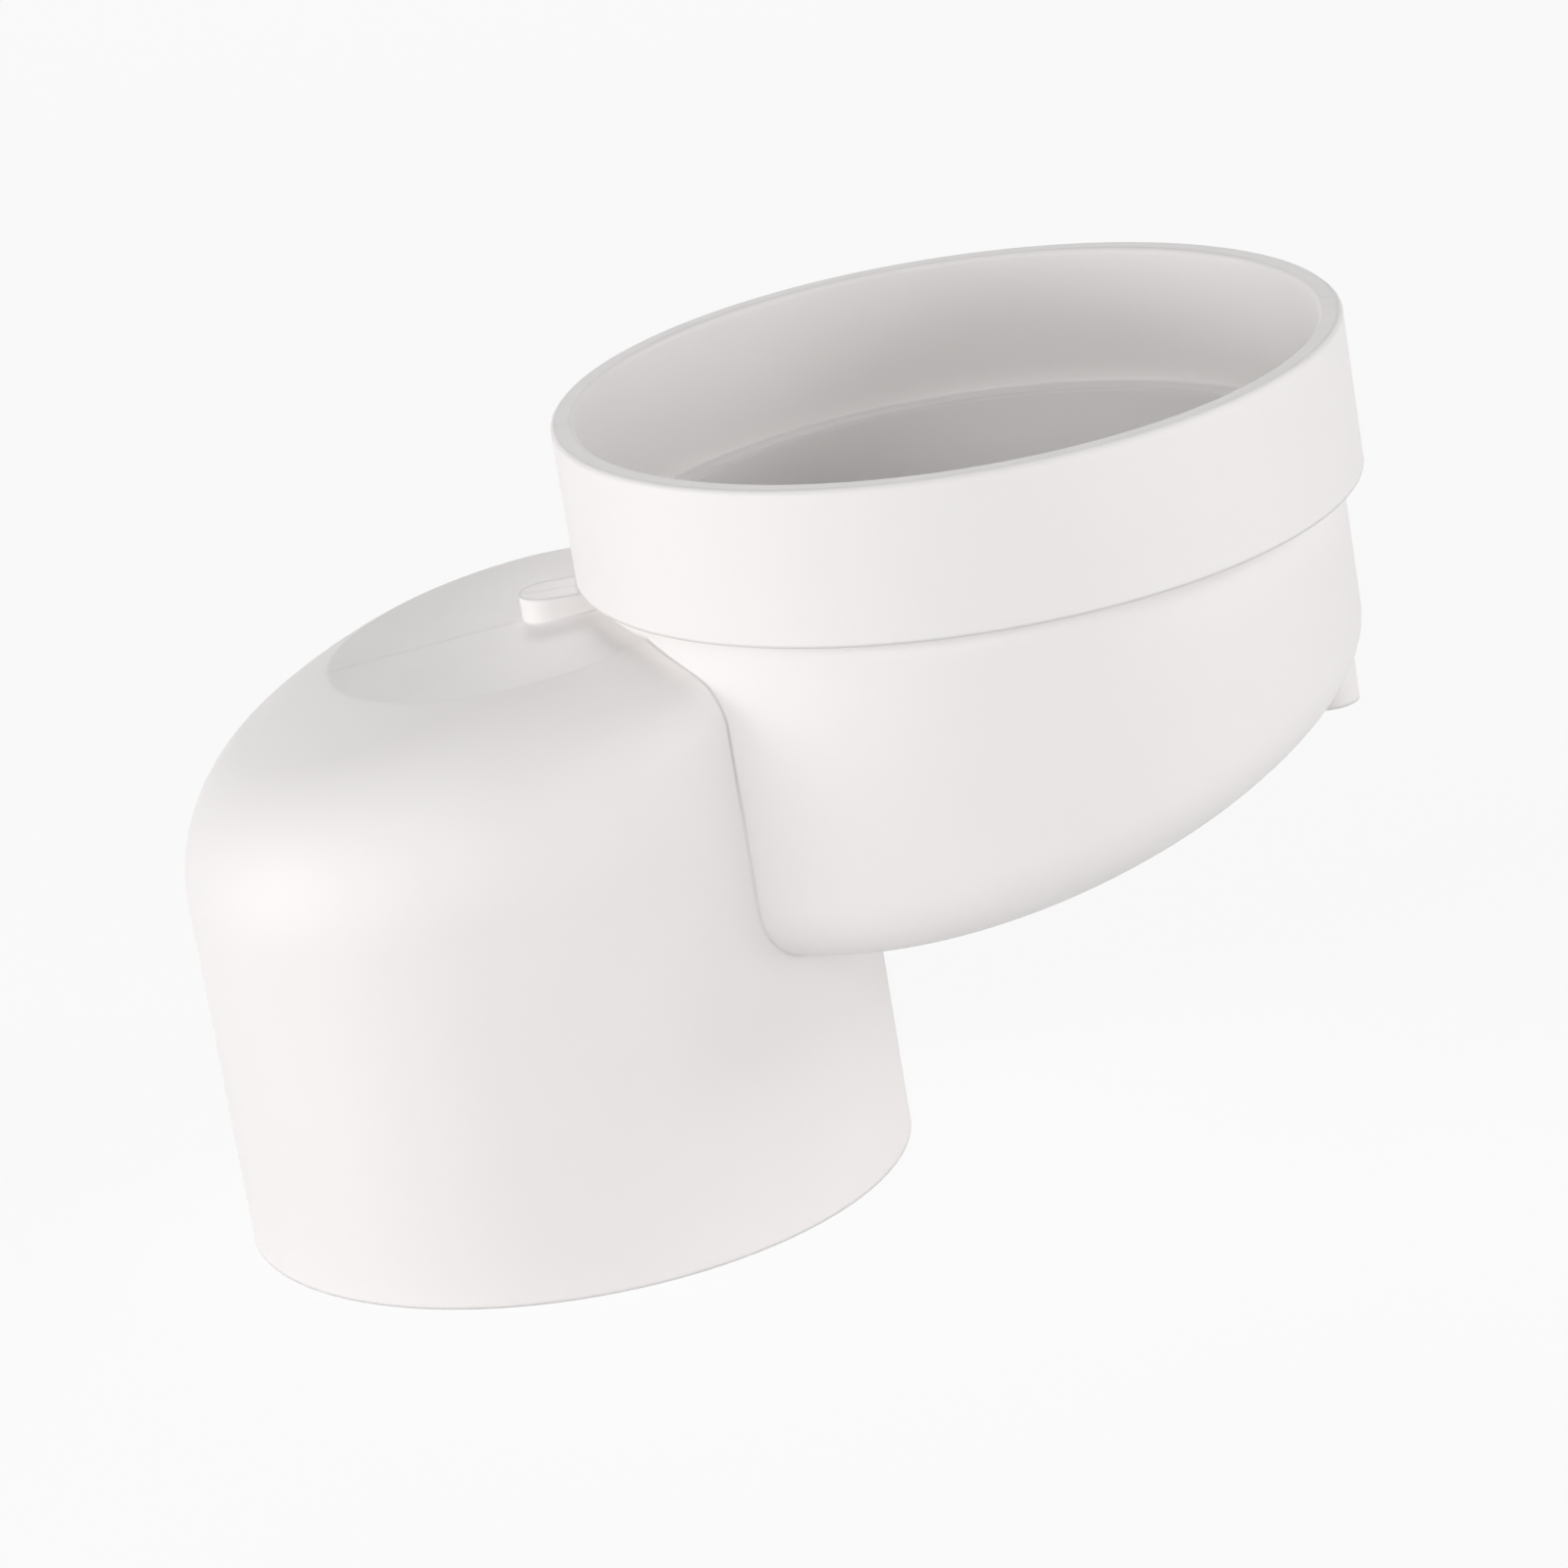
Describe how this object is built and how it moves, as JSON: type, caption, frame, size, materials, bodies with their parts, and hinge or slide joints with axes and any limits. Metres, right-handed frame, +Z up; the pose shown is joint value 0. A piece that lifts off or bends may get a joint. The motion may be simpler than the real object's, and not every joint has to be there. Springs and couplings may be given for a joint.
{
  "type": "offset toilet flange",
  "caption": "Offset toilet flange: a round inlet collar and bowl set to one side of a plain outlet spigot, moulded as a single hollow piece.",
  "frame": {"origin": "centre of the outlet spigot's foot, on the plane the part stands on", "axes": "+Z up along the spigot's axis, +X from the spigot's axis towards the inlet collar's axis"},
  "size_m": [0.1992, 0.128, 0.1266],
  "materials": {
    "white_pvc": "satin, as moulded"
  },
  "bodies": {
    "root": {"flange_body": "white_pvc"}
  },
  "joints": []
}
